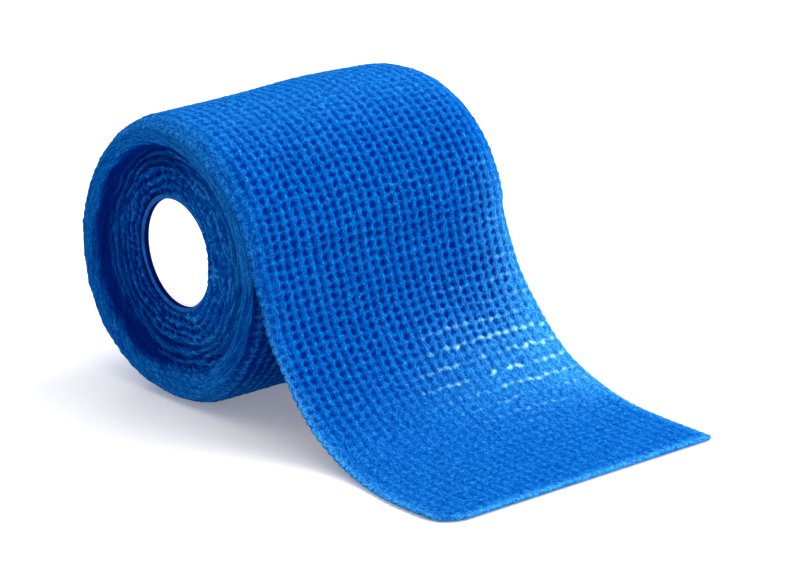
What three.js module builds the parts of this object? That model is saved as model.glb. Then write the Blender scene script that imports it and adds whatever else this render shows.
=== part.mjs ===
// A roll of knitted casting tape, wound on a thin plastic core, with its loose end laid out in front.
// Millimetres. X runs along the roll's axis, the loose end runs towards -Y and Z is up. The origin is
// the middle of the small flat spot that the roll rests on.

import * as THREE from "three";

// The tape
const TAPE_WIDTH = 75;
const TAPE_THICKNESS = 1.2;
const GAP = 0.3;
const HALF_WIDTH = TAPE_WIDTH / 2;

// The wound roll. Angles start at the top and grow towards the front, then down and round the back.
const ROLL_AXIS_HEIGHT = 32.45;
const ROLL_SEGMENTS = 108;
const WIDTH_STEPS = 9;
const RIM_STEPS = 15;
const SHOULDER_INSET = 6.2;
const SHOULDER_DROP = 2.6;
const FAR_SHOULDER_STRETCH = 0.8;
const STEP_REACH = 5;
const TURN_STEP = TAPE_THICKNESS + GAP;
const TURN_STEP_FADE = 95;
const STEP_ANGLE = 1;

// The radius of the outermost turn round the roll, at its near and far end
const OUT_OF_ROUND = [
  { angle: 0, near: 32.7, far: 34.2 },
  { angle: 45, near: 32.7, far: 34.3 },
  { angle: 78, near: 33.4, far: 34.1 },
  { angle: 130, near: 33.1, far: 33.3 },
  { angle: 158, near: 33.3, far: 33.3 },
  { angle: 180, near: 32.8, far: 32.8 },
  { angle: 208, near: 33.6, far: 33.6 },
  { angle: 240, near: 34.6, far: 34.4 },
  { angle: 268, near: 34.0, far: 34.2 },
  { angle: 298, near: 32.6, far: 33.9 },
  { angle: 330, near: 32.2, far: 34.0 },
];

// One end of the roll from its outer turn in to the core: how far each ring lies below the outer
// radius, and how far it lies in from the tape's edge. The outer turns stand proud as a soft rim,
// and the turns inside them are pushed in as a dish.
const END_RINGS = [
  { below: 0, inset: SHOULDER_INSET },
  { below: 0.35, inset: 3.4 },
  { below: 1.25, inset: 1.2 },
  { below: SHOULDER_DROP, inset: 0.15 },
  { below: 5.0, inset: 0.25 },
  { below: 7.6, inset: 1.0 },
  { below: 8.9, inset: 2.5 },
  { below: 9.9, inset: 3.7 },
  { below: 13.5, inset: 3.9 },
  { below: 17.0, inset: 4.1 },
];

// The core
const CORE_AXIS_HEIGHT = 33.3;
const CORE_BORE_RADIUS = 11.9;
const CORE_WALL = 1.6;
const CORE_INSET = 4.0;
const CORE_EDGE = 0.35;
const CORE_SEGMENTS = 72;
const BORE_INSET = 4.3;
const ROLL_BORE_RADIUS = CORE_BORE_RADIUS + CORE_WALL + GAP;

// The loose end. It leaves the roll at the front, hangs away in an S and lies flat on what the roll
// rests on. Each row is one line across the tape: out is the distance in front of the roll's axis and
// up the height of the tape's outer face, at the tape's near and far edge.
const LOOSE_START_ANGLE = 75;
const LOOSE_LEAVE_ANGLE = 81;
const LOOSE_SHAPE = [
  { near: -37.5, nearOut: 35.4, nearUp: 31.8, far: 37.3, farOut: 34.0, farUp: 30.6 },
  { near: -37.5, nearOut: 38.1, nearUp: 24.6, far: 37.5, farOut: 36.5, farUp: 24.0 },
  { near: -37.6, nearOut: 41.8, nearUp: 19.0, far: 37.5, farOut: 40.6, farUp: 17.8 },
  { near: -37.8, nearOut: 46.8, nearUp: 12.8, far: 37.5, farOut: 46.0, farUp: 12.2 },
  { near: -38.0, nearOut: 53.6, nearUp: 7.0, far: 37.5, farOut: 53.4, farUp: 7.2 },
  { near: -38.7, nearOut: 62.0, nearUp: 3.0, far: 37.4, farOut: 62.4, farUp: 3.7 },
  { near: -39.8, nearOut: 71.0, nearUp: 1.4, far: 37.1, farOut: 72.0, farUp: 1.7 },
  { near: -40.8, nearOut: 80.0, nearUp: 1.2, far: 36.7, farOut: 82.0, farUp: 1.2 },
  { near: -41.0, nearOut: 89.0, nearUp: 1.2, far: 36.3, farOut: 90.4, farUp: 1.2 },
  { near: -41.0, nearOut: 97.0, nearUp: 1.2, far: 36.0, farOut: 98.0, farUp: 1.2 },
];
const LOOSE_STEPS = 60;
const LOOSE_WIDTH_STEPS = 22;
const NEAR_CORNER_RADIUS = 7;
const FAR_CORNER_RADIUS = 1.5;
const SELVAGE_WAVE = 0.3;
const SELVAGE_PITCH = 7.5;
const EDGE_CROWDING = 0.6;
const EDGE_DROOP = 1.1;
const DROOP_LENGTH = 30;

function radians(degrees) {
  return (degrees * Math.PI) / 180;
}

function mix(from, to, share) {
  return from + (to - from) * share;
}

function smooth(value) {
  const share = Math.min(Math.max(value, 0), 1);
  return share * share * (3 - 2 * share);
}

// A cubic through four evenly spaced values, between the middle two
function cubic(before, from, to, after, share) {
  const slopeFrom = (to - before) / 2;
  const slopeTo = (after - from) / 2;
  const rise = from - to;
  const third = 2 * rise + slopeFrom + slopeTo;
  const second = -3 * rise - 2 * slopeFrom - slopeTo;
  return ((third * share + second) * share + slopeFrom) * share + from;
}

// The outermost turn's radius at an angle, by end
function tableRadius(angle, end) {
  const turn = ((angle % 360) + 360) % 360;
  const count = OUT_OF_ROUND.length;
  let row = count - 1;
  while (OUT_OF_ROUND[row].angle > turn) {
    row -= 1;
  }
  const from = OUT_OF_ROUND[row];
  const to = OUT_OF_ROUND[(row + 1) % count];
  const span = (to.angle - from.angle + 360) % 360;
  const before = OUT_OF_ROUND[(row + count - 1) % count][end];
  const after = OUT_OF_ROUND[(row + 2) % count][end];
  return cubic(before, from[end], to[end], after, (turn - from.angle) / span);
}

function outerRadius(angle, x) {
  const share = (x + HALF_WIDTH) / TAPE_WIDTH;
  return mix(tableRadius(angle, "near"), tableRadius(angle, "far"), share);
}

// The radius at a depth below the outermost turn. The roll is one turn thinner just under the place
// where its loose end begins, and that step runs out over the rim.
function woundRadius(angle, x, below) {
  const past = (((angle - LOOSE_START_ANGLE) % 360) + 360) % 360;
  const step = TURN_STEP * (1 - smooth(past / TURN_STEP_FADE)) * (1 - smooth(below / STEP_REACH));
  return outerRadius(angle, x) - below - step;
}

function onRoll(x, radius, angle, axisHeight) {
  const turn = radians(angle);
  const height = axisHeight + radius * Math.cos(turn);
  return new THREE.Vector3(x, -radius * Math.sin(turn), Math.max(height, 0));
}

// A closed mesh from rings of points. Each ring is closed, and with joined the last meets the first.
function meshFromRings(rings, joined) {
  const positions = [];
  const faces = [];
  const size = rings[0].length;
  for (const ring of rings) {
    for (const point of ring) {
      positions.push(point.x, point.y, point.z);
    }
  }
  const bands = joined ? rings.length : rings.length - 1;
  for (let band = 0; band < bands; band += 1) {
    const here = band * size;
    const next = ((band + 1) % rings.length) * size;
    for (let side = 0; side < size; side += 1) {
      const turned = (side + 1) % size;
      faces.push(here + side, next + side, next + turned);
      faces.push(here + side, next + turned, here + turned);
    }
  }
  const geometry = new THREE.BufferGeometry();
  geometry.setAttribute("position", new THREE.Float32BufferAttribute(positions, 3));
  geometry.setIndex(faces);
  geometry.computeVertexNormals();
  return geometry;
}

// The far shoulder is softer: its rings lie further in than those of the near one
function farInset(point) {
  return point.y * (1 + FAR_SHOULDER_STRETCH * (1 - smooth(point.x / SHOULDER_DROP)));
}

// The rings of one end as evenly spaced points on one soft curve
function endCurve() {
  const points = END_RINGS.map((ring) => new THREE.Vector3(ring.below, ring.inset, 0));
  return new THREE.CatmullRomCurve3(points, false, "centripetal").getSpacedPoints(RIM_STEPS);
}

// The section of the wound tape at one angle: near end from the bore out, outer face, far end back in
function woundSection(angle, curve) {
  const section = [];
  const place = (x, below) => {
    const rimRadius = outerRadius(angle, x) - STEP_REACH;
    const radius = woundRadius(angle, x, below);
    const inward = smooth((rimRadius - radius) / (rimRadius - ROLL_BORE_RADIUS));
    const axisHeight = mix(ROLL_AXIS_HEIGHT, CORE_AXIS_HEIGHT, inward);
    section.push(onRoll(x, radius, angle, axisHeight));
  };
  const bore = (x) => section.push(onRoll(x, ROLL_BORE_RADIUS, angle, CORE_AXIS_HEIGHT));
  bore(0);
  bore(BORE_INSET - HALF_WIDTH);
  for (let step = curve.length - 1; step >= 0; step -= 1) {
    place(curve[step].y - HALF_WIDTH, curve[step].x);
  }
  const nearEnd = curve[0].y - HALF_WIDTH;
  const farEnd = HALF_WIDTH - farInset(curve[0]);
  for (let step = 1; step < WIDTH_STEPS; step += 1) {
    place(mix(nearEnd, farEnd, step / WIDTH_STEPS), 0);
  }
  for (const point of curve) {
    place(HALF_WIDTH - farInset(point), point.x);
  }
  bore(HALF_WIDTH - BORE_INSET);
  return section;
}

function woundGeometry() {
  const curve = endCurve();
  const rings = [];
  for (let segment = 0; segment < ROLL_SEGMENTS; segment += 1) {
    const past = ((360 - STEP_ANGLE) * segment) / (ROLL_SEGMENTS - 1);
    rings.push(woundSection(LOOSE_START_ANGLE + past, curve));
  }
  return meshFromRings(rings, true);
}

function coreGeometry() {
  const end = HALF_WIDTH - CORE_INSET;
  const inner = CORE_BORE_RADIUS;
  const outer = CORE_BORE_RADIUS + CORE_WALL;
  const profile = [
    [inner, CORE_EDGE - end],
    [inner + CORE_EDGE, -end],
    [outer - CORE_EDGE, -end],
    [outer, CORE_EDGE - end],
    [outer, end - CORE_EDGE],
    [outer - CORE_EDGE, end],
    [inner + CORE_EDGE, end],
    [inner, end - CORE_EDGE],
    [inner, CORE_EDGE - end],
  ];
  const points = profile.map(([radius, along]) => new THREE.Vector2(radius, along));
  const geometry = new THREE.LatheGeometry(points, CORE_SEGMENTS);
  geometry.rotateZ(-Math.PI / 2);
  geometry.translate(0, 0, CORE_AXIS_HEIGHT);
  return geometry;
}

// The line along one edge of the loose end's outer face
function looseEdge(end) {
  const points = [];
  const side = end === "near" ? -HALF_WIDTH : HALF_WIDTH;
  for (const angle of [LOOSE_START_ANGLE + STEP_ANGLE, LOOSE_LEAVE_ANGLE]) {
    points.push(onRoll(side, outerRadius(angle, side), angle, ROLL_AXIS_HEIGHT));
  }
  for (const row of LOOSE_SHAPE) {
    points.push(new THREE.Vector3(row[end], -row[`${end}Out`], row[`${end}Up`]));
  }
  return new THREE.CatmullRomCurve3(points, false, "centripetal");
}

// How far a rounded corner holds the cut end back, by the distance in from that edge
function cornerPull(distance, radius) {
  if (distance >= radius) {
    return 0;
  }
  const rest = radius - distance;
  return radius - Math.sqrt(radius * radius - rest * rest);
}

// Near the roll the tape's edges still bend over the roll's shoulders
function edgeDroop(distance, run) {
  const over = Math.max(1 - distance / SHOULDER_INSET, 0);
  return EDGE_DROOP * over * over * (1 - smooth(run / DROOP_LENGTH));
}

// The outer face as a grid: rows down the tape, columns across it and closer together at its edges
function looseFace() {
  const near = looseEdge("near");
  const far = looseEdge("far");
  const length = near.getLength();
  const rows = [];
  for (let down = 0; down <= LOOSE_STEPS; down += 1) {
    const row = [];
    for (let over = 0; over <= LOOSE_WIDTH_STEPS; over += 1) {
      const even = over / LOOSE_WIDTH_STEPS;
      const across = mix(even, (1 - Math.cos(Math.PI * even)) / 2, EDGE_CROWDING);
      const nearDistance = across * TAPE_WIDTH;
      const farDistance = TAPE_WIDTH - nearDistance;
      const pull =
        cornerPull(nearDistance, NEAR_CORNER_RADIUS) + cornerPull(farDistance, FAR_CORNER_RADIUS);
      const along = (down / LOOSE_STEPS) * (1 - pull / length);
      const point = near.getPointAt(along).lerp(far.getPointAt(along), across);
      const wave = SELVAGE_WAVE * Math.sin((2 * Math.PI * along * length) / SELVAGE_PITCH);
      point.x += wave * (2 * across - 1) * smooth((down - 2) / LOOSE_STEPS);
      point.y += edgeDroop(Math.min(nearDistance, farDistance), along * length);
      row.push(point);
    }
    rows.push(row);
  }
  return rows;
}

function looseNormal(face, down, over) {
  const rowFrom = face[Math.max(down - 1, 0)][over];
  const rowTo = face[Math.min(down + 1, LOOSE_STEPS)][over];
  const columnFrom = face[down][Math.max(over - 1, 0)];
  const columnTo = face[down][Math.min(over + 1, LOOSE_WIDTH_STEPS)];
  const along = rowTo.clone().sub(rowFrom);
  const across = columnTo.clone().sub(columnFrom);
  return across.cross(along).normalize().negate();
}

// A closed sheet: each ring goes across the outer face and back along the inner face
function looseGeometry() {
  const face = looseFace();
  const rings = face.map((row, down) => {
    const inner = row.map((point, over) => {
      const moved = point.clone().addScaledVector(looseNormal(face, down, over), -TAPE_THICKNESS);
      moved.z = Math.max(moved.z, 0);
      return moved;
    });
    return row.concat(inner.reverse());
  });
  const geometry = meshFromRings(rings, false);
  return closeEnds(geometry, rings);
}

// The two end rings are filled by strips between their outer and inner halves
function closeEnds(geometry, rings) {
  const faces = Array.from(geometry.getIndex().array);
  const size = rings[0].length;
  const last = (rings.length - 1) * size;
  for (let over = 0; over < size / 2 - 1; over += 1) {
    const back = size - 1 - over;
    faces.push(over, over + 1, back - 1, over, back - 1, back);
    faces.push(last + over, last + back - 1, last + over + 1, last + over, last + back, last + back - 1);
  }
  geometry.setIndex(faces);
  geometry.computeVertexNormals();
  return geometry;
}

function makeMesh(name, geometry, material) {
  const mesh = new THREE.Mesh(geometry, material);
  mesh.name = name;
  return mesh;
}

const knitBlue = new THREE.MeshStandardMaterial({ color: 0x0a5fc8, roughness: 0.55, metalness: 0 });
const looseBlue = new THREE.MeshStandardMaterial({ color: 0x1469d6, roughness: 0.5, metalness: 0 });
const corePlastic = new THREE.MeshStandardMaterial({ color: 0x1f5fae, roughness: 0.35, metalness: 0 });

const castingTapeRoll = new THREE.Group();
castingTapeRoll.add(makeMesh("wound_roll", woundGeometry(), knitBlue));
castingTapeRoll.add(makeMesh("loose_end", looseGeometry(), looseBlue));
castingTapeRoll.add(makeMesh("core", coreGeometry(), corePlastic));

export default castingTapeRoll;
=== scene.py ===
import math

import bmesh
import bpy
import numpy as np
from mathutils import Matrix, Vector


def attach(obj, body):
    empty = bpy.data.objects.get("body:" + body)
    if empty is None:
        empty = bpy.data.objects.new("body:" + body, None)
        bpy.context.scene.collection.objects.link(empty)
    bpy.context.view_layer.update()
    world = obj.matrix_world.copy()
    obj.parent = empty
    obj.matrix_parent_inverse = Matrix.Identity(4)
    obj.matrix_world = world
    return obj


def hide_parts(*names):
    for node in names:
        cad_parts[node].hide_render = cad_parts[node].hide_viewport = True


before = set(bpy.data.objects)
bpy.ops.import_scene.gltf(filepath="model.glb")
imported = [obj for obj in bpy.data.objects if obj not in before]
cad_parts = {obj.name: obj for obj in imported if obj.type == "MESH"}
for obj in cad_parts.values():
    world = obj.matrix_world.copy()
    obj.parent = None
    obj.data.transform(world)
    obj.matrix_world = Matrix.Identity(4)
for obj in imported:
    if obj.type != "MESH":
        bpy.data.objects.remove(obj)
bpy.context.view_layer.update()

# A roll of knitted casting tape. Metres. X runs along the roll's axis, the loose end runs towards -Y.
MM = 0.001

# The knit: ribs run the length of the tape, and weft threads bridge them
TAPE_WIDTH = 75 * MM
HALF_WIDTH = TAPE_WIDTH / 2
TAPE_THICKNESS = 1.1 * MM
RIBS = 29
COURSE = 2.2 * MM
RIB_POINTS = 6
COURSE_POINTS = 6
RELIEF = 0.6 * MM
INNER_RELIEF = 0.15 * MM
RIB_THICK = 0.32
WEFT_THICK = 0.225
GAP_DEPTH = 0.04

# Where the knit changes, by the distance up from the cut end
FLAT_NEAR = 33 * MM
FLAT_SKEW = 14 * MM
FLAT_FADE = 28 * MM
TOP_FROM = 102 * MM
TOP_PALE_FROM = 104 * MM
TOP_FADE = 24 * MM
# The painted glints and the painted highlight at the bend are strongest this far up
PAINTED_GLINTS_AT = 51 * MM
PALE_AT = 50 * MM

# Painted shadow under the loose end: the wound tape there is darker by this much, from this far along it on
LOOSE_END_SHADOW = 0.42
LOOSE_END_SHADOW_FROM = 60 * MM

# The wound roll, as the solids have it. Angles start at the top and grow towards the front.
ROLL_AXIS_HEIGHT = 32.45 * MM
PACKED_AXIS_HEIGHT = 32.7 * MM
CORE_AXIS_HEIGHT = 33.3 * MM
CORE_BORE = 11.9 * MM
CORE_END = 33.5 * MM
CORE_OUTSIDE = 14.1 * MM
CORE_LIP = 12.65 * MM
LINER_INSET = 1.5 * MM
CORE_LEAN = 61.0
CORE_LONG = 0.985
CORE_SHORT = 0.92
CORE_SHIFT = (0, 0.6 * MM, 0.3 * MM)
START_ANGLE = 76.0
LEAVE_ANGLE = 81.0
UNDER_STEP = 1.5 * MM
UNDER_STEP_FADE = 95.0
TURN_RADIUS = 33.4 * MM
EDGE_TUCK = 0.6 * MM
EDGE_LUMPS = 0.22 * MM
EASED_ANGLE = 25.0

# The lowest that each surface may lie
GROUND_LOW = 0.35 * MM
LOOSE_LOW = 0.3 * MM
DISH_LOW = 0.1 * MM
YARN_LOW = 0.05 * MM

# The outermost turn's radius, by angle, at the near and far end
OUTLINE_ANGLE = [0, 45, 78, 130, 158, 180, 208, 240, 268, 298, 330]
OUTLINE_NEAR = [33.0, 32.7, 33.4, 33.1, 33.2, 32.7, 33.3, 34.1, 33.5, 32.6, 32.6]
OUTLINE_FAR = [34.3, 34.5, 33.8, 33.3, 33.3, 32.8, 33.6, 34.4, 34.2, 33.9, 34.2]
CROWN = 0.7
CROWN_AT = 0.64
CROWN_SPREAD = 0.2

# How the shoulders drop at the roll's ends, by the distance in from the tape's edge
SHOULDER_DROP = 2.6 * MM
NEAR_SHOULDER = 6.2 * MM
NEAR_SHOULDER_POWER = 2.6
FAR_SHOULDER = 11.2 * MM
FAR_SHOULDER_POWER = 3.3

# The dished ends: how far in from the tape's edge the face lies, by depth below the outer turn
DISH_BELOW = [2.2, 2.7, 3.6, 4.8, 5.6, 6.2, 6.8, 7.3, 7.8, 8.4, 11.5, 13.5, 17.0, 19.5]
DISH_INSET = [0.8, 0.35, 0.15, 0.25, 0.5, 1.0, 1.9, 2.9, 3.6, 3.9, 4.0, 3.95, 4.0, 4.0]
ROPE_PITCH = 1.95

# The loose end's outer face at its near and far edge: across, out in front of the axis, and up
LOOSE_NEAR = [
    (-37.5, 35.4, 31.8), (-37.5, 38.1, 24.6), (-37.6, 41.8, 19.0), (-37.8, 46.8, 12.8), (-38.0, 53.6, 7.0),
    (-38.7, 62.0, 3.0), (-39.8, 71.0, 1.4), (-40.8, 80.0, 1.2), (-41.0, 89.0, 1.2), (-41.0, 97.0, 1.2),
]
LOOSE_FAR = [
    (37.3, 35.7, 30.6), (37.5, 38.0, 24.0), (37.5, 42.0, 17.8), (37.5, 47.3, 12.2), (37.5, 54.1, 7.2),
    (37.4, 62.8, 3.7), (37.1, 72.2, 1.7), (36.7, 82.2, 1.2), (36.3, 90.9, 1.2), (36.0, 98.7, 1.2),
]
NEAR_CORNER = 7.0 * MM
FAR_CORNER = 1.5 * MM
CORNER_REACH = 22 * MM
LOOSE_LENGTH = 88 * MM
START_DROP_NEAR = 0.45
START_DROP_FAR = 1.0
DROOP_LENGTH = 30 * MM


def smooth(value):
    share = np.clip(value, 0, 1)
    return share * share * (3 - 2 * share)


def patches(across, along, seed):
    """Soft random values from -1 to 1, one for each whole step across and along"""
    table = np.random.default_rng(seed).uniform(-1, 1, (97, 509))
    left = np.floor(across).astype(int)
    low = np.floor(along).astype(int)
    over = smooth(across - left)
    up = smooth(along - low)
    rows = (left % 97, (left + 1) % 97)
    columns = (low % 509, (low + 1) % 509)
    lower = table[rows[0], columns[0]] * (1 - over) + table[rows[1], columns[0]] * over
    upper = table[rows[0], columns[1]] * (1 - over) + table[rows[1], columns[1]] * over
    return lower * (1 - up) + upper * up


def soft_curve(points, shares):
    """Points on a smooth curve through the given ones, by share of its length"""
    points = np.array(points, float)
    ends = np.vstack([2 * points[0] - points[1], points, 2 * points[-1] - points[-2]])
    samples = []
    for place in np.linspace(0, len(points) - 1, 900):
        step = min(int(place), len(points) - 2)
        t = place - step
        a, b, c, d = ends[step:step + 4]
        slope_b, slope_c = (c - a) / 2, (d - b) / 2
        cubic = (2 * (b - c) + slope_b + slope_c) * t ** 3
        samples.append(cubic + (3 * (c - b) - 2 * slope_b - slope_c) * t ** 2 + slope_b * t + b)
    samples = np.array(samples)
    run = np.concatenate([[0], np.cumsum(np.linalg.norm(np.diff(samples, axis=0), axis=1))])
    run /= run[-1]
    return np.stack([np.interp(shares, run, samples[:, axis]) for axis in range(3)], -1)


# The shape of the wound tape

def outline(angle, share):
    """The outermost turn's radius at an angle, by share of the way from the near end to the far end"""
    turn = np.mod(angle, 360)
    around = np.array(OUTLINE_ANGLE + [360])
    fine = np.arange(0, 361)

    def eased(radii):
        radii = np.array(radii + [radii[0]])
        coarse = np.interp(fine, around, radii)
        window = np.hanning(27) / np.hanning(27).sum()
        soft = np.convolve(np.tile(coarse[:-1], 3), window, "same")[360:721]
        return np.interp(turn, fine, soft)

    near = eased(OUTLINE_NEAR)
    far = eased(OUTLINE_FAR)
    on_top = smooth(np.cos(np.radians(angle + 15)) * 3 - 1.8)
    crown = CROWN * np.exp(-((share - CROWN_AT) / CROWN_SPREAD) ** 2) * on_top
    return (near + (far - near) * share + crown) * MM


def shoulder(share):
    """How far the outermost turn drops at its edges"""
    near = np.clip(1 - share * TAPE_WIDTH / NEAR_SHOULDER, 0, 1) ** NEAR_SHOULDER_POWER
    far = np.clip(1 - (1 - share) * TAPE_WIDTH / FAR_SHOULDER, 0, 1) ** FAR_SHOULDER_POWER
    return SHOULDER_DROP * (near + far)


def start_drop(share):
    return START_DROP_NEAR + (START_DROP_FAR - START_DROP_NEAR) * smooth(share)


def around_axis(x, radius, angle, axis_height):
    turn = np.radians(angle)
    height = axis_height + radius * np.cos(turn)
    return np.stack(np.broadcast_arrays(x, -radius * np.sin(turn), np.maximum(height, GROUND_LOW)), -1)


def loose_edge(table, side):
    share = 0.0 if side < 0 else 1.0
    first = []
    for angle in (START_ANGLE, LEAVE_ANGLE):
        first.append(around_axis(side * HALF_WIDTH, outline(angle, share), angle, ROLL_AXIS_HEIGHT) / MM)
    rest = [(across, -out, up) for across, out, up in table]
    return first + rest


def corner_pull(distance, radius):
    rest = np.clip(radius - distance, 0, radius)
    return radius - np.sqrt(radius ** 2 - rest ** 2)


def from_cut(share, along):
    """The distance up from the cut end, for rows that end at the rounded corners"""
    near_distance = share * TAPE_WIDTH
    far_distance = TAPE_WIDTH - near_distance
    pull = corner_pull(near_distance, NEAR_CORNER) + corner_pull(far_distance, FAR_CORNER)
    return along + pull * np.clip(1 - along / CORNER_REACH, 0, 1) ** 2


def loose_surface(share, along):
    """The loose end's outer face. along is the distance up from the cut end."""
    down = 1 - along / LOOSE_LENGTH
    near = soft_curve(loose_edge(LOOSE_NEAR, -1), down) * MM
    far = soft_curve(loose_edge(LOOSE_FAR, 1), down) * MM
    points = near + (far - near) * share[..., None]
    droop = shoulder(share) * start_drop(share) * (1 - smooth((LOOSE_LENGTH - along) / DROOP_LENGTH))
    start = math.radians(START_ANGLE)
    points[..., 1] += droop * math.sin(start)
    points[..., 2] -= droop * math.cos(start)
    return points


def soft_edge(share, along):
    """The fuzzy lumps of the tape's two edges on the roll"""
    edge = np.minimum(share, 1 - share) * TAPE_WIDTH
    lumps = patches(along / (1.9 * MM), share * 30, 35) + 0.7 * patches(along / (0.9 * MM), share * 70, 36)
    return EDGE_LUMPS * lumps * np.exp(-edge / (2.2 * MM))


def turn_angle(along):
    return START_ANGLE - np.degrees((along - LOOSE_LENGTH) / TURN_RADIUS)


def turn_surface(share, along):
    """The outermost turn's face. along goes on from the loose end's length, over the top and round."""
    angle = turn_angle(along)
    past = np.maximum(angle - (START_ANGLE - 360), 0)
    under = UNDER_STEP * (1 - smooth(past / UNDER_STEP_FADE))
    bend = 1 - smooth((angle - EASED_ANGLE) / (START_ANGLE - EASED_ANGLE))
    drop = start_drop(share) + (1 - start_drop(share)) * bend
    radius = outline(angle, share) - shoulder(share) * drop - under + soft_edge(share, along) * bend
    x = (share - 0.5) * (TAPE_WIDTH - EDGE_TUCK * bend)
    return around_axis(x, radius, angle, ROLL_AXIS_HEIGHT)


# The knit's relief

def lattice(ribs, courses):
    """The warped knit: places in ribs and courses, the nearest rib and course, and the way to them"""
    u = ribs + 0.13 * patches(ribs / 4, courses / 6, 11) * smooth(ribs) * smooth(RIBS - ribs)
    v = courses + 0.2 * patches(ribs / 3, courses / 5, 12) + 0.1 * patches(ribs, courses / 2, 13)
    rib = np.rint(u)
    course = np.rint(v)
    twist = 0.075 * np.sin(2 * np.pi * v + 2.4 * rib) + 0.06 * patches(rib, v * 1.5, 14)
    du = u - rib + twist
    dv = v - course + 0.09 * np.sin(np.pi * u + 1.3 * course) + 0.05 * patches(u * 2, course, 15)
    return u, v, rib, course, du, dv


def loose_end_shadow_share(angle):
    """Where shadow is painted on the wound tape under the loose end, so that it is darker there"""
    around = np.mod(angle, 360)
    return smooth((around - 80) / 14) * (1 - smooth((around - 118) / 40))


def knit(ribs, courses, openness):
    """How high the yarn stands, from 0 in a gap to 1 on a knot, by ribs across and courses along"""
    u, v, rib, course, du, dv = lattice(ribs, courses)
    thick = RIB_THICK + 0.04 * patches(rib, v, 16)
    thread = WEFT_THICK + 0.03 * patches(u, course, 17) + 0.04 * (1 - openness)
    rib_height = np.exp(-np.abs(du / thick) ** 3.2) * (0.94 + 0.06 * np.cos(2 * np.pi * v))
    thread_height = (0.66 + 0.1 * patches(u + 0.5, course, 18)) * np.exp(-np.abs(dv / thread) ** 3.4)
    knot = 0.07 * np.exp(-(du ** 2 + dv ** 2) / 0.05) * (1 + 0.9 * patches(rib, course, 19))
    yarn = 1 - (1 - rib_height) * (1 - thread_height) + knot
    strands = 0.2 * patches(u * 7, v * 3, 20) + 0.14 * patches(u * 3, v * 8, 21)
    gap = GAP_DEPTH + 0.14 * (0.5 + 0.5 * patches(np.floor(u) + 0.37, np.floor(v) + 0.61, 22))
    closed = gap + (0.72 - gap) * (1 - openness)
    rough = strands * (0.5 + 0.5 * np.minimum(yarn, 1)) * (1.5 - 0.7 * openness)
    return np.clip(np.maximum(yarn, closed) + rough, 0, 1.25)


def open_share(share, along):
    """How open the knit is: plainly open on the hanging tape, closed up on the flat end, over the top
    and along the edges"""
    edge = np.minimum(share, 1 - share) * TAPE_WIDTH
    fade_from = FLAT_NEAR + FLAT_SKEW * share + 3 * MM * patches(share * 5, along / (9 * MM), 41)
    flat = 0.06 + 0.94 * smooth((along - fade_from) / FLAT_FADE)
    top = 1 - 0.72 * smooth((along - TOP_FROM) / TOP_FADE)
    on_roll = smooth((along - 62 * MM) / (26 * MM))
    sides = 1 - (0.35 + 0.4 * on_roll) * (1 - smooth(edge / (8 * MM)))
    far_side = 1 - 0.6 * (1 - smooth((1 - share) * TAPE_WIDTH / (11 * MM)))
    return flat * top * sides * far_side


def painted_glint_share(share, along):
    """Painted glints: pale paint on the knots, in rows across the tape, most of all where the
    loose end bends towards the flat and catches the light"""
    rib, course, du, dv = lattice(share * RIBS, along / COURSE)[2:]
    knot = np.exp(-(du / 0.27) ** 2 - (dv / 0.22) ** 2)
    knot = np.maximum(knot, 0.3 * np.exp(-(dv / 0.12) ** 2))
    chance = patches(course * 7.3, course * 0 + 3.5, 43)
    row = 0.1 + smooth(0.34 + 0.5 * np.cos(np.pi * course) + 0.5 * chance)
    held = smooth(0.8 + 0.9 * patches(rib * 0.8, course * 1.7, 44))
    bend = np.exp(-((along - PAINTED_GLINTS_AT) / (14 * MM)) ** 2 - ((share - 0.76) / 0.24) ** 2)
    side = 0.4 * np.exp(-((share - 0.95) / 0.08) ** 2) * np.exp(-((along - 70 * MM) / (28 * MM)) ** 2)
    few = 0.04 * smooth(2.5 * patches(rib * 1.3, course * 1.9, 45) - 0.8)
    return np.clip(knot * (row * held * (1.5 * bend + side) + few), 0, 1)


def pale_share(share, along):
    """Where the yarn looks paler: the edges' fuzz, partly painted highlight; the flat end; the far side and
    the bend, as painted highlight; and the top
    """
    edge = np.minimum(np.minimum(share, 1 - share) * TAPE_WIDTH, along)
    loose = smooth((LOOSE_LENGTH + 20 * MM - along) / (30 * MM))
    low = smooth((82 * MM - along) / (35 * MM))
    # The edges' fuzz, made stronger as painted highlight
    fuzz = np.exp(-((edge / (1.5 * MM)) ** 2)) * (0.12 + 0.88 * low)
    flat = 0.05 * smooth((60 * MM - along) / (30 * MM)) + 0.08 * (1 - open_share(share, along))
    from_far = (1 - share) * TAPE_WIDTH
    # Painted highlight along the loose end's far edge and over the bend
    far_side = 0.75 * np.exp(-((from_far / (10 * MM)) ** 2)) * loose * smooth((along - 25 * MM) / (20 * MM))
    bend = 0.55 * np.exp(-((along - PALE_AT) / (16 * MM)) ** 2 - ((share - 0.82) / 0.3) ** 2)
    top = 0.16 * smooth((along - TOP_PALE_FROM) / TOP_FADE)
    return np.clip(fuzz + flat + far_side + bend + top, 0, 1)


def selvage(share, along, seed):
    """The edge's scallops: how far it reaches out across the tape"""
    courses = along / COURSE
    loops = 0.46 * np.abs(np.sin(np.pi * courses)) + 0.3 * patches(share * 0 + 0.5, courses / 2.7, seed)
    edge = np.exp(-share * TAPE_WIDTH / (1.2 * MM))
    pressed = smooth((along - LOOSE_LENGTH + 18 * MM) / (20 * MM))
    return loops * edge * (1 - 0.6 * pressed) * MM


def face_normals(surface, share, along):
    """The way that a surface faces, at each place on it"""
    step = 0.1 * MM
    across = surface(share + step / TAPE_WIDTH, along) - surface(share - step / TAPE_WIDTH, along)
    forward = surface(share, along + step) - surface(share, along - step)
    normal = np.cross(across, forward)
    return normal / np.linalg.norm(normal, axis=-1, keepdims=True)


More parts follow.
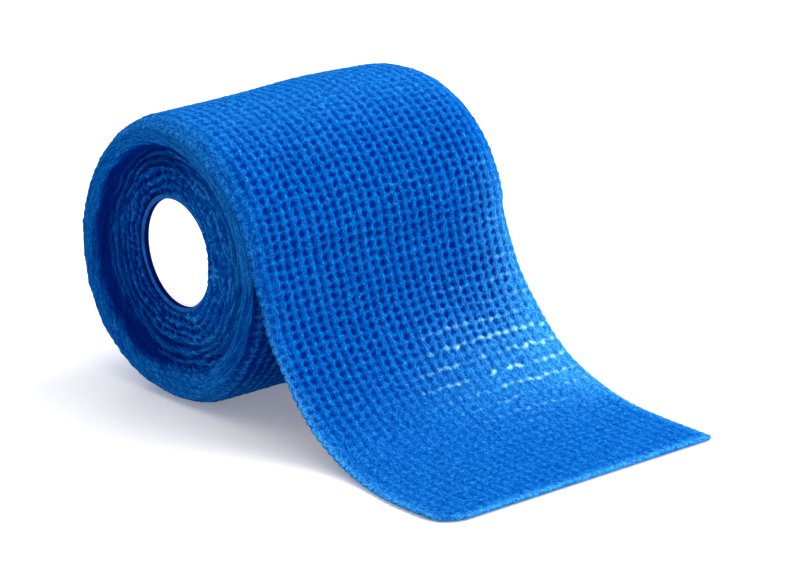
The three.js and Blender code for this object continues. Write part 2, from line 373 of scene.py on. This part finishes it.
def relief_normals(points):
    along = np.gradient(points, axis=0)
    across = np.gradient(points, axis=1)
    normal = np.cross(across, along)
    return normal / np.linalg.norm(normal, axis=-1, keepdims=True)


def knit_grid(surface, along_from, along_to, columns, rows):
    """A stretch of knit over a surface: the ground under it, its points, the way it faces, marks and weave"""
    share, along = np.meshgrid(np.linspace(0, 1, columns + 1), np.linspace(along_from, along_to, rows + 1))
    true_along = from_cut(share, along)
    ground = surface(share, true_along)
    normal = face_normals(surface, share, true_along)
    ground[..., 0] += 0.5 * selvage(1 - share, true_along, 32) - selvage(share, true_along, 31)
    openness = open_share(share, true_along)
    height = knit(share * RIBS, true_along / COURSE, openness)
    edge = np.minimum(np.minimum(share, 1 - share) * TAPE_WIDTH, true_along)
    border = np.exp(-(edge / (0.9 * MM)) ** 2)
    loops = 0.62 + 0.34 * np.abs(np.sin(np.pi * true_along / COURSE))
    loops = loops + 0.14 * patches(true_along / COURSE * 2, share * 60, 33)
    height = height + (loops - height) * border
    points = ground + normal * ((height - 1) * RELIEF * (0.45 + 0.55 * openness))[..., None]
    weave = np.stack([share * RIBS, true_along / COURSE], -1)
    # Painted shadow under the loose end: the relief mark is lowered there, so that the yarn takes a darker
    # colour
    loose_end_shadow = LOOSE_END_SHADOW * loose_end_shadow_share(turn_angle(true_along)) * (true_along > LOOSE_LENGTH + LOOSE_END_SHADOW_FROM)
    marks = {
        "relief": height - loose_end_shadow,
        "painted_glint": painted_glint_share(share, true_along),
        "pale": pale_share(share, true_along),
    }
    return ground, points, normal, marks, weave


# Meshes

MERGE_DISTANCE = 0.5e-6
ROUND_POINTS = 3
PACKED_STEPS = 144
CORE_STEPS = 180

# How the wound turn's edges curl in, in mm: how far in along the roll, and how far down
HEM_STEPS = [(0.12, 0.45), (0.95, 1.0)]


def fill_mesh(name, columns, rows, points, marks, weave):
    """A grid mesh whose points are moved to the given places, with its marks and weave kept on it"""
    bm = bmesh.new()
    bmesh.ops.create_grid(bm, x_segments=columns, y_segments=rows, size=0.5)
    mesh = bpy.data.meshes.new(name)
    bm.to_mesh(mesh)
    bm.free()
    flat = np.empty(len(mesh.vertices) * 3, np.float32)
    mesh.vertices.foreach_get("co", flat)
    flat = flat.reshape(-1, 3)
    column = np.rint((flat[:, 0] + 0.5) * columns).astype(int)
    row = np.rint((flat[:, 1] + 0.5) * rows).astype(int)
    mesh.vertices.foreach_set("co", points[row, column].astype(np.float32).ravel())
    ends = np.empty(len(mesh.edges) * 2, np.int32)
    mesh.edges.foreach_get("vertices", ends)
    last_row = (row[ends].reshape(-1, 2) == rows).all(1)
    sharp = mesh.attributes.new("sharp_edge", "BOOLEAN", "EDGE")
    sharp.data.foreach_set("value", last_row)
    for mark, values in marks.items():
        layer = mesh.attributes.new(mark, "FLOAT", "POINT")
        layer.data.foreach_set("value", values[row, column].astype(np.float32))
    corners = np.empty(len(mesh.loops), np.int32)
    mesh.loops.foreach_get("vertex_index", corners)
    layer = mesh.uv_layers.new(name="weave")
    layer.data.foreach_set("uv", weave[row, column][corners].astype(np.float32).ravel())
    return mesh


def finish_piece(name, mesh, material, nodes):
    piece = bpy.data.objects.new(name, mesh)
    bpy.context.scene.collection.objects.link(piece)
    mesh.materials.append(material)
    mesh.polygons.foreach_set("use_smooth", np.ones(len(mesh.polygons), bool))
    mesh.update()
    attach(piece, "root")
    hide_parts(*nodes)
    return piece


def join_meshes(name, outer, inner):
    """Two grids that share their border become one closed skin, with the inner one turned round"""
    bm = bmesh.new()
    bm.from_mesh(outer)
    outer_faces = len(bm.faces)
    bm.from_mesh(inner)
    bm.faces.ensure_lookup_table()
    bmesh.ops.reverse_faces(bm, faces=bm.faces[outer_faces:])
    bmesh.ops.remove_doubles(bm, verts=[v for v in bm.verts if v.is_boundary], dist=MERGE_DISTANCE)
    mesh = bpy.data.meshes.new(name)
    bm.to_mesh(mesh)
    bm.free()
    return mesh


def edge_round(rows, columns):
    """From 0 on the border to 1 a few points in, as a round edge has it"""
    in_from_side = np.minimum(np.arange(columns + 1), np.arange(columns, -1, -1))[None, :]
    in_from_end = np.arange(rows + 1)[:, None]
    inside = np.clip(np.minimum(in_from_side, in_from_end) / ROUND_POINTS, 0, 1)
    return np.sqrt(1 - (1 - inside) ** 2)


def make_loose_end(material):
    columns = RIBS * RIB_POINTS
    rows = int(round(LOOSE_LENGTH / COURSE)) * COURSE_POINTS
    ground, points, normal, marks, weave = knit_grid(loose_surface, 0, LOOSE_LENGTH, columns, rows)
    base = ground - normal * TAPE_THICKNESS / 2
    outside = edge_round(rows, columns)[..., None]
    outer = base + (points - base) * outside
    openness = open_share(weave[..., 0] / RIBS, weave[..., 1] * COURSE)
    inner_height = knit(weave[..., 0] + 0.5, weave[..., 1] + 0.5, openness)
    inner_height[:, 0] = marks["relief"][:, 0]
    inner_height[:, -1] = marks["relief"][:, -1]
    inner_marks = {**marks, "relief": inner_height, "painted_glint": marks["painted_glint"] * 0}
    inner = base - normal * (TAPE_THICKNESS / 2 + (inner_height[..., None] - 1) * INNER_RELIEF) * outside
    outer[..., 2] = np.maximum(outer[..., 2], LOOSE_LOW)
    inner[..., 2] = np.maximum(inner[..., 2], YARN_LOW)
    inner[0] = outer[0]
    inner[-1] = outer[-1]
    inner[:, 0] = outer[:, 0]
    inner[:, -1] = outer[:, -1]
    outer_mesh = fill_mesh("loose_outer", columns, rows, outer, marks, weave)
    inner_mesh = fill_mesh("loose_inner", columns, rows, inner, inner_marks, weave)
    mesh = join_meshes("loose_end_knit", outer_mesh, inner_mesh)
    piece = finish_piece("loose_end_knit", mesh, material, ["loose_end"])


def hem(points, marks, weave):
    """The wound turn's two edges curl in, so that they close against the dished ends"""
    axis = np.array([0, 0, ROLL_AXIS_HEIGHT])
    sides = []
    for column, side in ((0, -1), (-1, 1)):
        edge = points[:, column]
        out = (edge - axis) * np.array([0, 1, 1])
        out /= np.linalg.norm(out, axis=1, keepdims=True)
        inward = np.array([-side, 0, 0])
        curl = [edge + (inward * reach - out * drop) * MM for reach, drop in HEM_STEPS]
        sides.append(np.stack(curl[::side], 1))
    points = np.concatenate([sides[0], points, sides[1]], 1)
    wider = (len(HEM_STEPS), len(HEM_STEPS))
    marks = {mark: np.pad(values, ((0, 0), wider), "edge") for mark, values in marks.items()}
    return points, marks, np.pad(weave, ((0, 0), wider, (0, 0)), "edge")


def make_outer_turn(material):
    """The outermost turn, in two halves: over the top and back, then under and up behind the loose end"""
    half = int(round(math.pi * TURN_RADIUS / COURSE)) * COURSE
    columns = RIBS * RIB_POINTS
    for name, start in (("outer_turn_over", LOOSE_LENGTH), ("outer_turn_under", LOOSE_LENGTH + half)):
        rows = int(round(half / COURSE)) * COURSE_POINTS
        _, points, _, marks, weave = knit_grid(turn_surface, start, start + half, columns, rows)
        points, marks, weave = hem(points, marks, weave)
        points[..., 2] = np.maximum(points[..., 2], YARN_LOW)
        mesh = fill_mesh(name, columns + 2 * len(HEM_STEPS), rows, points, marks, weave)
        finish_piece(name, mesh, material, ["wound_roll"])


# The dished ends

DISH_COLUMNS = 124
DISH_ROWS = 576
DISH_START = 150
SWELL = 0.3 * MM
OVER_LIP = 0.7 * MM


def core_oval(angle):
    """How far the core and the turns next to it are squeezed, by angle"""
    turn = np.radians(angle)
    lean = np.radians(CORE_LEAN)
    along = -np.sin(turn) * np.cos(lean) + np.cos(turn) * np.sin(lean)
    return 1 / np.sqrt((along / CORE_LONG) ** 2 + (1 - along ** 2) / CORE_SHORT ** 2)


def wound_relief(below, angle, run, seed):
    """The heights of a dished end: the wound turns' edges as ropes that merge and part, with gaps"""
    ropes_in = below / ROPE_PITCH + angle / 360
    around = np.mod(angle, 360)
    wide = around / 30
    warp = 0.5 * patches(wide, below / 3.1, seed) + 0.3 * patches(wide * 3, below / 1.7, seed + 1)
    face = smooth((below - 6.4) / 2.4)
    back = 0.5 + 0.5 * np.cos(np.radians(around - 250))
    back = smooth(back * 1.6 - 0.1)
    coarse = 0.5 + 0.5 * np.cos(2 * np.pi * (ropes_in + warp))
    fine = 0.5 + 0.5 * np.cos(4.6 * np.pi * (ropes_in + 0.8 * warp))
    course = run / COURSE / 1.1
    rope = np.floor(ropes_in + warp)
    offset = 0.5 * rope + 0.4 * patches(course / 3, rope, seed + 2)
    loops = 0.5 + 0.5 * np.cos(2 * np.pi * (course + offset))
    bridges = loops ** 1.3 * (0.72 + 0.28 * patches(course, rope, seed + 7))
    ridges = coarse ** 0.8 * (0.84 + 0.16 * patches(course * 0.8, rope, seed + 8))
    open_rope = 1 - (1 - ridges) * (1 - 0.85 * bridges)
    packed = 0.6 + 0.3 * fine + 0.1 * coarse
    rim = 0.74 + 0.18 * fine + 0.1 * bridges
    ropes = rim + (packed + (open_rope - packed) * (0.4 + 0.6 * back) - rim) * face
    fuzz = 0.5 * patches(course * 3.6, below * 2.3, seed + 3)
    fuzz = fuzz + 0.5 * patches(course * 1.7, below * 3.4, seed + 4)
    lumps = patches(course / 1.1, below / 1.2, seed + 5)
    return ropes, fuzz, lumps, face


def dish(side, seed):
    """One dished end's points, with how high its yarn stands and the painted light and shade in that, how
    pale it is as painted light, and its weave
    """
    edge_share = 0.0 if side < 0 else 1.0
    around = np.linspace(DISH_START, DISH_START + 360, DISH_ROWS + 1)
    angle, step = np.meshgrid(around, np.linspace(0, 1, DISH_COLUMNS + 1), indexing="ij")
    profile = np.stack([DISH_BELOW, DISH_INSET], -1)
    lengths = np.concatenate([[0], np.cumsum(np.linalg.norm(np.diff(profile, axis=0), axis=1))])
    place = step * lengths[-1]
    below = np.interp(place, lengths, DISH_BELOW)
    window = np.ones(5) / 5
    inset_line = np.interp(place[0], lengths, DISH_INSET)
    inset_line = np.convolve(np.pad(inset_line, 2, "edge"), window, "valid")
    inset = np.broadcast_to(inset_line, below.shape)
    rim = outline(angle, edge_share)
    front = smooth(0.5 + 0.8 * np.sin(np.radians(angle)))
    inner_end = (CORE_OUTSIDE + (0.1 - 0.4 * front) * MM) * core_oval(angle)
    depth_share = (below - DISH_BELOW[0]) / (DISH_BELOW[-1] - DISH_BELOW[0])
    if side > 0:
        past = np.mod(angle - START_ANGLE, 360)
        rim = rim - UNDER_STEP * smooth(past / 8) * (1 - smooth(past / UNDER_STEP_FADE))
    plain = rim - below * MM
    reach = rim - DISH_BELOW[0] * MM
    squeezed = reach - (reach - inner_end) * depth_share
    radius = plain + (squeezed - plain) * smooth(depth_share * 1.6)
    axis_height = CORE_AXIS_HEIGHT + (ROLL_AXIS_HEIGHT - CORE_AXIS_HEIGHT) * (1 - smooth(depth_share * 1.3))
    run = np.radians(angle) * np.maximum(radius, 20 * MM)
    relief = np.array(wound_relief(below, angle, run, seed))
    turn_back = wound_relief(below, angle - 360, run - 2 * np.pi * run / np.radians(angle), seed)
    meet = smooth((angle - DISH_START - 330) / 30)
    ropes, fuzz, lumps, face = relief + (np.array(turn_back) - relief) * meet
    swell = SWELL * patches(np.mod(angle, 360) / 45, below / 4, seed + 6)
    over_lip = OVER_LIP * front * smooth((below - 13) / 5)
    x = side * (HALF_WIDTH - inset * MM + swell + over_lip)
    ground = around_axis(x, radius, angle, axis_height)
    ground[..., 1] += CORE_SHIFT[1] * smooth(depth_share * 1.3)
    ground[..., 2] += CORE_SHIFT[2] * smooth(depth_share * 1.3)
    normal = relief_normals(ground) * -side
    lift = (ropes - 0.8) * (0.35 + 0.85 * face) + 0.2 * fuzz + (0.26 - 0.14 * face) * lumps
    start = smooth(step * 30)
    points = ground + normal * (lift * MM * start)[..., None]
    points[0] = points[-1] = (points[0] + points[-1]) / 2
    # Painted light and shade on the dished end: lighter towards the front, darker on the wall and in the
    # valley on the shaded side, and pale paint on the lit ropes
    shaded = 0.25 + 0.75 * smooth(0.5 + 1.3 * np.cos(np.radians(angle - 280)))
    wall = smooth((inset - 0.4) / 2.4) * (0.45 + 0.55 * shaded)
    valley = np.exp(-((below - 7.4) / 1.3) ** 2) * shaded
    # Painted shadow on the dished end, where the loose end hangs over it
    loose_end_shadow = LOOSE_END_SHADOW * loose_end_shadow_share(angle) * (1 - smooth((below - 4.5) / 3))
    height = 0.93 + 0.12 * front - 0.34 * wall - 0.6 * valley + 1.05 * (ropes - 0.8) - loose_end_shadow
    height = height + 0.44 * fuzz * (1 - 0.6 * valley) + 0.18 * lumps
    height = np.clip(height, 0, 1.15)
    lit = smooth(1.1 * fuzz + 0.5 * lumps + 2.2 * (ropes - 0.74)) * (0.15 + 0.85 * front)
    pale = 0.42 * lit * (1 - valley) * (1 - 0.8 * loose_end_shadow / LOOSE_END_SHADOW)
    weave = np.stack([below / 2.6, 40 + run / COURSE], -1)
    return points, height, pale, weave


def make_dished_ends(material):
    for name, side, seed in (("near_dished_end", -1, 51), ("far_dished_end", 1, 71)):
        points, height, pale, weave = dish(side, seed)
        points[..., 2] = np.maximum(points[..., 2], DISH_LOW)
        marks = {"relief": height, "painted_glint": height * 0, "pale": pale}
        mesh = fill_mesh(name, DISH_COLUMNS, DISH_ROWS, points, marks, weave)
        if side < 0:
            mesh.flip_normals()
        finish_piece(name, mesh, material, ["wound_roll"])


def spin_profile(name, half, steps):
    """A ring-shaped solid from half of its section, as radius and distance from the middle in mm"""
    bm = bmesh.new()
    ring = [bm.verts.new((-x * MM, 0, r * MM)) for r, x in half]
    ring += [bm.verts.new((x * MM, 0, r * MM)) for r, x in reversed(half)]
    edges = [bm.edges.new((a, b)) for a, b in zip(ring, ring[1:] + ring[:1])]
    bmesh.ops.spin(
        bm, geom=ring + edges, cent=(0, 0, 0), axis=(1, 0, 0), angle=2 * math.pi, steps=steps, use_merge=True
    )
    bmesh.ops.recalc_face_normals(bm, faces=bm.faces)
    mesh = bpy.data.meshes.new(name)
    bm.to_mesh(mesh)
    bm.free()
    return mesh


def make_packed_tape(material):
    """What fills the roll behind its dished ends and under its outermost turn, coloured much darker than the
    knit as painted shade
    """
    half = [(15.0, 31.0), (20.0, 31.2), (23.6, 31.4), (26.0, 33.6), (29.0, 34.4), (30.0, 33.6), (30.3, 29.0)]
    mesh = spin_profile("packed_tape", half, PACKED_STEPS)
    mesh.transform(Matrix.Translation((0, 0, PACKED_AXIS_HEIGHT)))
    finish_piece("packed_tape", mesh, material, ["wound_roll"])


def make_core(material):
    """The plastic tube, squeezed a little oval: a smooth lip, a short dark step and the white liner"""
    lip, bore = CORE_LIP / MM, CORE_BORE / MM
    outside, end, liner = CORE_OUTSIDE / MM, CORE_END / MM, (CORE_END - LINER_INSET) / MM
    half = [
        (outside, end - 0.7), (outside - 0.08, end - 0.3), (outside - 0.3, end - 0.05), (outside - 0.5, end),
        (lip + 0.22, end), (lip + 0.06, end - 0.07), (lip, end - 0.22), (lip, liner + 0.02),
        (lip - 0.04, liner), (bore + 0.1, liner), (bore, liner - 0.12),
    ]
    mesh = spin_profile("core_tube", half, CORE_STEPS)
    lean = Matrix.Rotation(math.radians(CORE_LEAN), 4, "X")
    squeeze = lean @ Matrix.Diagonal((1, CORE_LONG, CORE_SHORT, 1)) @ lean.inverted()
    axis = Vector(CORE_SHIFT) + Vector((0, 0, CORE_AXIS_HEIGHT))
    mesh.transform(Matrix.Translation(axis) @ squeeze)
    finish_piece("core_tube", mesh, material, ["core"])


# Materials

class Value:
    """A socket of a material's nodes, so that sums are written as plain expressions"""

    def __init__(self, shop, socket):
        self.shop = shop
        self.socket = socket

    def __add__(self, other):
        return self.shop.maths("ADD", self, other)

    def __radd__(self, other):
        return self.shop.maths("ADD", other, self)

    def __sub__(self, other):
        return self.shop.maths("SUBTRACT", self, other)

    def __rsub__(self, other):
        return self.shop.maths("SUBTRACT", other, self)

    def __mul__(self, other):
        return self.shop.maths("MULTIPLY", self, other)

    def __rmul__(self, other):
        return self.shop.maths("MULTIPLY", other, self)


class Shop:
    """One material and its nodes"""

    def __init__(self, name):
        self.material = bpy.data.materials.new(name)
        self.material.use_nodes = True
        self.tree = self.material.node_tree
        self.tree.nodes.clear()
        self.shader = self.tree.nodes.new("ShaderNodeBsdfPrincipled")
        output = self.tree.nodes.new("ShaderNodeOutputMaterial")
        self.tree.links.new(self.shader.outputs["BSDF"], output.inputs["Surface"])

    def feed(self, socket, value):
        if isinstance(value, Value):
            self.tree.links.new(value.socket, socket)
        else:
            socket.default_value = value

    def node(self, kind, settings, inputs, output):
        made = self.tree.nodes.new(kind)
        for name, value in settings.items():
            setattr(made, name, value)
        for name, value in inputs.items():
            self.feed(made.inputs[name], value)
        return Value(self, made.outputs[output])

    def maths(self, operation, first, second):
        return self.node("ShaderNodeMath", {"operation": operation}, {0: first, 1: second}, 0)

    def clamp(self, value, low, high):
        inputs = {"Value": value, "Min": low, "Max": high}
        return self.node("ShaderNodeClamp", {}, inputs, "Result")

    def between(self, value, low, high):
        settings = {"interpolation_type": "SMOOTHSTEP", "clamp": True}
        inputs = {"Value": value, "From Min": low, "From Max": high}
        return self.node("ShaderNodeMapRange", settings, inputs, "Result")

    def mix(self, share, first, second):
        inputs = {"Factor": share, 6: first, 7: second}
        return self.node("ShaderNodeMix", {"data_type": "RGBA"}, inputs, 2)

    def mark(self, name):
        return self.node("ShaderNodeAttribute", {"attribute_name": name}, {}, "Fac")

    def noise(self, place, scale, detail, roughness=0.5):
        inputs = {"Vector": place, "Scale": scale, "Detail": detail, "Roughness": roughness}
        return self.node("ShaderNodeTexNoise", {}, inputs, 0)

    def bump(self, height, distance, strength):
        inputs = {"Height": height, "Distance": distance, "Strength": strength}
        return self.node("ShaderNodeBump", {}, inputs, "Normal")

    def set(self, **values):
        for name, value in values.items():
            self.feed(self.shader.inputs[name.replace("_", " ")], value)


def blue(red, green, blue_part):
    """A linear colour from the 0 to 255 values that a screen shows"""
    parts = []
    for part in (red, green, blue_part):
        share = part / 255
        parts.append(share / 12.92 if share <= 0.04045 else ((share + 0.055) / 1.055) ** 2.4)
    return (*parts, 1.0)


PAINTED_GAP_SHADE = blue(0, 36, 124)
YARN_SHADE = blue(0, 54, 138)
YARN = blue(0, 104, 196)
YARN_CLOUD = blue(0, 84, 180)
YARN_CREST = blue(50, 165, 236)
PALE_YARN_AND_HIGHLIGHT_DIM = blue(0, 100, 196)
PALE_YARN_AND_HIGHLIGHT = blue(68, 170, 236)
PAINTED_GLINT_COLOUR = blue(136, 216, 251)
# The packed tape's colours are much darker than the yarn's: painted shade inside the roll
PACKED_SHADE = blue(0, 14, 70)
PACKED = blue(0, 30, 100)
LIP_SHADE = blue(2, 74, 146)
LIP = blue(10, 94, 174)
LIP_STEP = blue(0, 12, 78)
LINER_SHADE = blue(240, 243, 248)
LINER = blue(250, 251, 253)
WHITE = (1, 1, 1, 1)
BLACK = (0, 0, 0, 1)
FLOOR = (0.76, 0.76, 0.765, 1.0)
LINER_GLOW = 0.4
FLOOR_GLOW = 0.22


def knit_material():
    """Glass yarn in blue resin: bright knots and ribs, their paler crests partly painted highlight; dark gaps
    in painted shade; fine strands along the yarn; painted highlights where the pale mark is, and painted
    glints on the knots
    """
    shop = Shop("knitted_tape")
    relief = shop.mark("relief")
    painted_glint = shop.mark("painted_glint")
    pale = shop.mark("pale")
    weave = shop.node("ShaderNodeUVMap", {"uv_map": "weave"}, {}, "UV")
    place = shop.node("ShaderNodeTexCoord", {}, {}, "Object")

    def stretched(across, along):
        inputs = {0: weave, 1: (across, along, 1.0)}
        return shop.node("ShaderNodeVectorMath", {"operation": "MULTIPLY"}, inputs, 0)

    strands = shop.noise(stretched(7.0, 1.6), 1.0, 3.0, 0.7)
    threads = shop.noise(stretched(2.2, 7.5), 1.0, 3.0, 0.7)
    grain = shop.noise(place, 2600.0, 3.0, 0.7)
    cloud = shop.noise(place, 55.0, 2.0)
    yarn = shop.between(relief, 0.12, 0.95)
    crest = shop.between(relief, 0.74, 1.04)
    fibre = strands * 0.42 + threads * 0.18 + grain * 0.4
    streak = shop.between(fibre, 0.42, 0.58)
    fleck = shop.between(fibre, 0.52, 0.62)
    body_colour = shop.mix(streak, YARN_SHADE, YARN)
    tinted = shop.mix(shop.between(cloud, 0.35, 0.7) * 0.25, body_colour, YARN_CLOUD)
    # Paler crests on the knots and ribs: fibre flecks, partly painted highlight
    crest_colour = shop.mix(fleck * (crest * 0.42 + 0.14) + crest * 0.06, tinted, YARN_CREST)
    # Pale paint for the edges' fuzz and for the painted highlights
    pale_colour = shop.mix(streak, PALE_YARN_AND_HIGHLIGHT_DIM, PALE_YARN_AND_HIGHLIGHT)
    yarn_colour = shop.mix(pale, crest_colour, pale_colour)
    # The gaps take a dark colour: painted shade in the knit's gaps
    fabric = shop.mix(yarn, PAINTED_GAP_SHADE, yarn_colour)
    # Painted glints: pale paint on the knots, which also get a glossier coat there
    glint_spots = shop.clamp(painted_glint * (0.5 + streak) * 1.08 - 0.06, 0.0, 1.0)
    colour = shop.mix(glint_spots, fabric, PAINTED_GLINT_COLOUR)
    roughness = shop.clamp(0.66 - glint_spots * 0.35 + (grain - 0.5) * 0.4, 0.2, 0.9)
    fine = shop.bump(fibre, 0.0007, 1.0)
    shop.set(Base_Color=colour, Roughness=roughness, Normal=fine, Coat_Weight=glint_spots * glint_spots * 0.4)
    shop.set(Coat_Roughness=0.15, Specular_IOR_Level=0.0)
    return shop.material


def packed_material():
    shop = Shop("packed_tape")
    place = shop.node("ShaderNodeTexCoord", {}, {}, "Object")
    lumps = shop.noise(place, 900.0, 3.0)
    colour = shop.mix(shop.between(lumps, 0.3, 0.75), PACKED_SHADE, PACKED)
    shop.set(Base_Color=colour, Roughness=0.8, Specular_IOR_Level=0.1, Normal=shop.bump(lumps, 0.0006, 0.8))
    return shop.material


def core_material():
    """A blue lip, a dark step and a white liner, told apart by the depth into the tube"""
    shop = Shop("core_plastic")
    place = shop.node("ShaderNodeTexCoord", {}, {}, "Object")
    facing = shop.node("ShaderNodeNewGeometry", {}, {}, "Normal")

    def across(vector):
        split = shop.node("ShaderNodeSeparateXYZ", {}, {"Vector": vector}, "X")
        return shop.node("ShaderNodeMath", {"operation": "ABSOLUTE"}, {0: split}, 0)

    flat = shop.between(across(facing), 0.45, 0.6)
    scuffs = shop.noise(place, 700.0, 3.0)
    lip = shop.mix(shop.between(scuffs, 0.35, 0.7), LIP_SHADE, LIP)
    wall = shop.mix(shop.between(scuffs, 0.3, 0.8), LINER_SHADE, LINER)
    step = shop.mix(flat, LIP_STEP, lip)
    liner_end = CORE_END - LINER_INSET + 0.2 * MM
    past_liner = shop.between(across(place), liner_end - 0.1 * MM, liner_end)
    colour = shop.mix(past_liner, wall, step)
    roughness = shop.clamp(0.78 - flat * 0.5 + scuffs * 0.2, 0.2, 0.95)
    shop.set(Base_Color=colour, Roughness=roughness, Normal=shop.bump(scuffs, 0.0001, 0.3))
    # The liner glows, though it is no lamp: painted light in the bore
    glow = shop.mix(past_liner, WHITE, BLACK)
    shop.set(Emission_Color=glow, Emission_Strength=LINER_GLOW, Specular_IOR_Level=0.02)
    return shop.material


def floor_material():
    shop = Shop("studio_floor")
    shop.set(Base_Color=FLOOR, Roughness=0.8, Specular_IOR_Level=0.1)
    shop.set(Emission_Color=WHITE, Emission_Strength=FLOOR_GLOW)
    return shop.material


# The studio

CAMERA_PLACE = Vector((-403.2, -493.3, 222.3)) * MM
CAMERA_RIGHT = Vector((0.76002, -0.64987, -0.00585))
CAMERA_UP = Vector((0.19173, 0.21561, 0.95747))
CAMERA_AHEAD = Vector((0.62097, 0.72882, -0.28846))
FOCAL_PIXELS = 2889.4
PICTURE_WIDTH = 800
SHIFT_PIXELS = (49.7, -47.9)
SENSOR_WIDTH = 36
NEAREST = 0.01
FARTHEST = 20

# The lights: name, place, width and height, and watts
LIGHTS = [
    ("overhead", (0.1, 0.0, 0.8), (1.3, 1.2), 6),
    ("right_softbox", (0.5, -0.42, 0.55), (0.8, 0.8), 8.5),
    ("back_strip", (0.45, 0.6, 0.3), (0.5, 0.25), 2),
    ("glint_lamp", (0.55, 0.09, 0.7), (0.3, 0.3), 2.0),
]
LIGHT_AIM = Vector((0, -0.03, 0.03))
SKY = (0.97, 0.98, 1.0, 1.0)
SKY_STRENGTH = 0.52
FLOOR_REACH = 6


def make_camera():
    data = bpy.data.cameras.new("camera")
    data.sensor_width = SENSOR_WIDTH
    data.lens = SENSOR_WIDTH * FOCAL_PIXELS / PICTURE_WIDTH
    data.shift_x = SHIFT_PIXELS[0] / PICTURE_WIDTH
    data.shift_y = SHIFT_PIXELS[1] / PICTURE_WIDTH
    data.clip_start = NEAREST
    data.clip_end = FARTHEST
    camera = bpy.data.objects.new("camera", data)
    bpy.context.scene.collection.objects.link(camera)
    turn = Matrix((CAMERA_RIGHT, CAMERA_UP, -CAMERA_AHEAD)).transposed().to_4x4()
    camera.matrix_world = Matrix.Translation(CAMERA_PLACE) @ turn
    bpy.context.scene.camera = camera


def make_light(name, place, size, watts):
    data = bpy.data.lights.new(name, "AREA")
    data.shape = "RECTANGLE"
    data.size, data.size_y = size
    data.energy = watts
    light = bpy.data.objects.new(name, data)
    bpy.context.scene.collection.objects.link(light)
    light.location = place
    light.rotation_euler = (LIGHT_AIM - Vector(place)).to_track_quat("-Z", "Y").to_euler()


def make_studio():
    bm = bmesh.new()
    bmesh.ops.create_grid(bm, x_segments=8, y_segments=8, size=FLOOR_REACH)
    mesh = bpy.data.meshes.new("studio_floor")
    bm.to_mesh(mesh)
    bm.free()
    floor = bpy.data.objects.new("studio_floor", mesh)
    bpy.context.scene.collection.objects.link(floor)
    mesh.materials.append(floor_material())
    world = bpy.data.worlds.new("studio")
    bpy.context.scene.world = world
    world.use_nodes = True
    background = world.node_tree.nodes["Background"]
    background.inputs["Color"].default_value = SKY
    background.inputs["Strength"].default_value = SKY_STRENGTH
    for light in LIGHTS:
        make_light(*light)


bpy.context.scene.view_settings.view_transform = "Standard"
make_camera()
make_studio()
tape_finish = knit_material()
make_loose_end(tape_finish)
make_outer_turn(tape_finish)
make_dished_ends(tape_finish)
make_packed_tape(packed_material())
make_core(core_material())
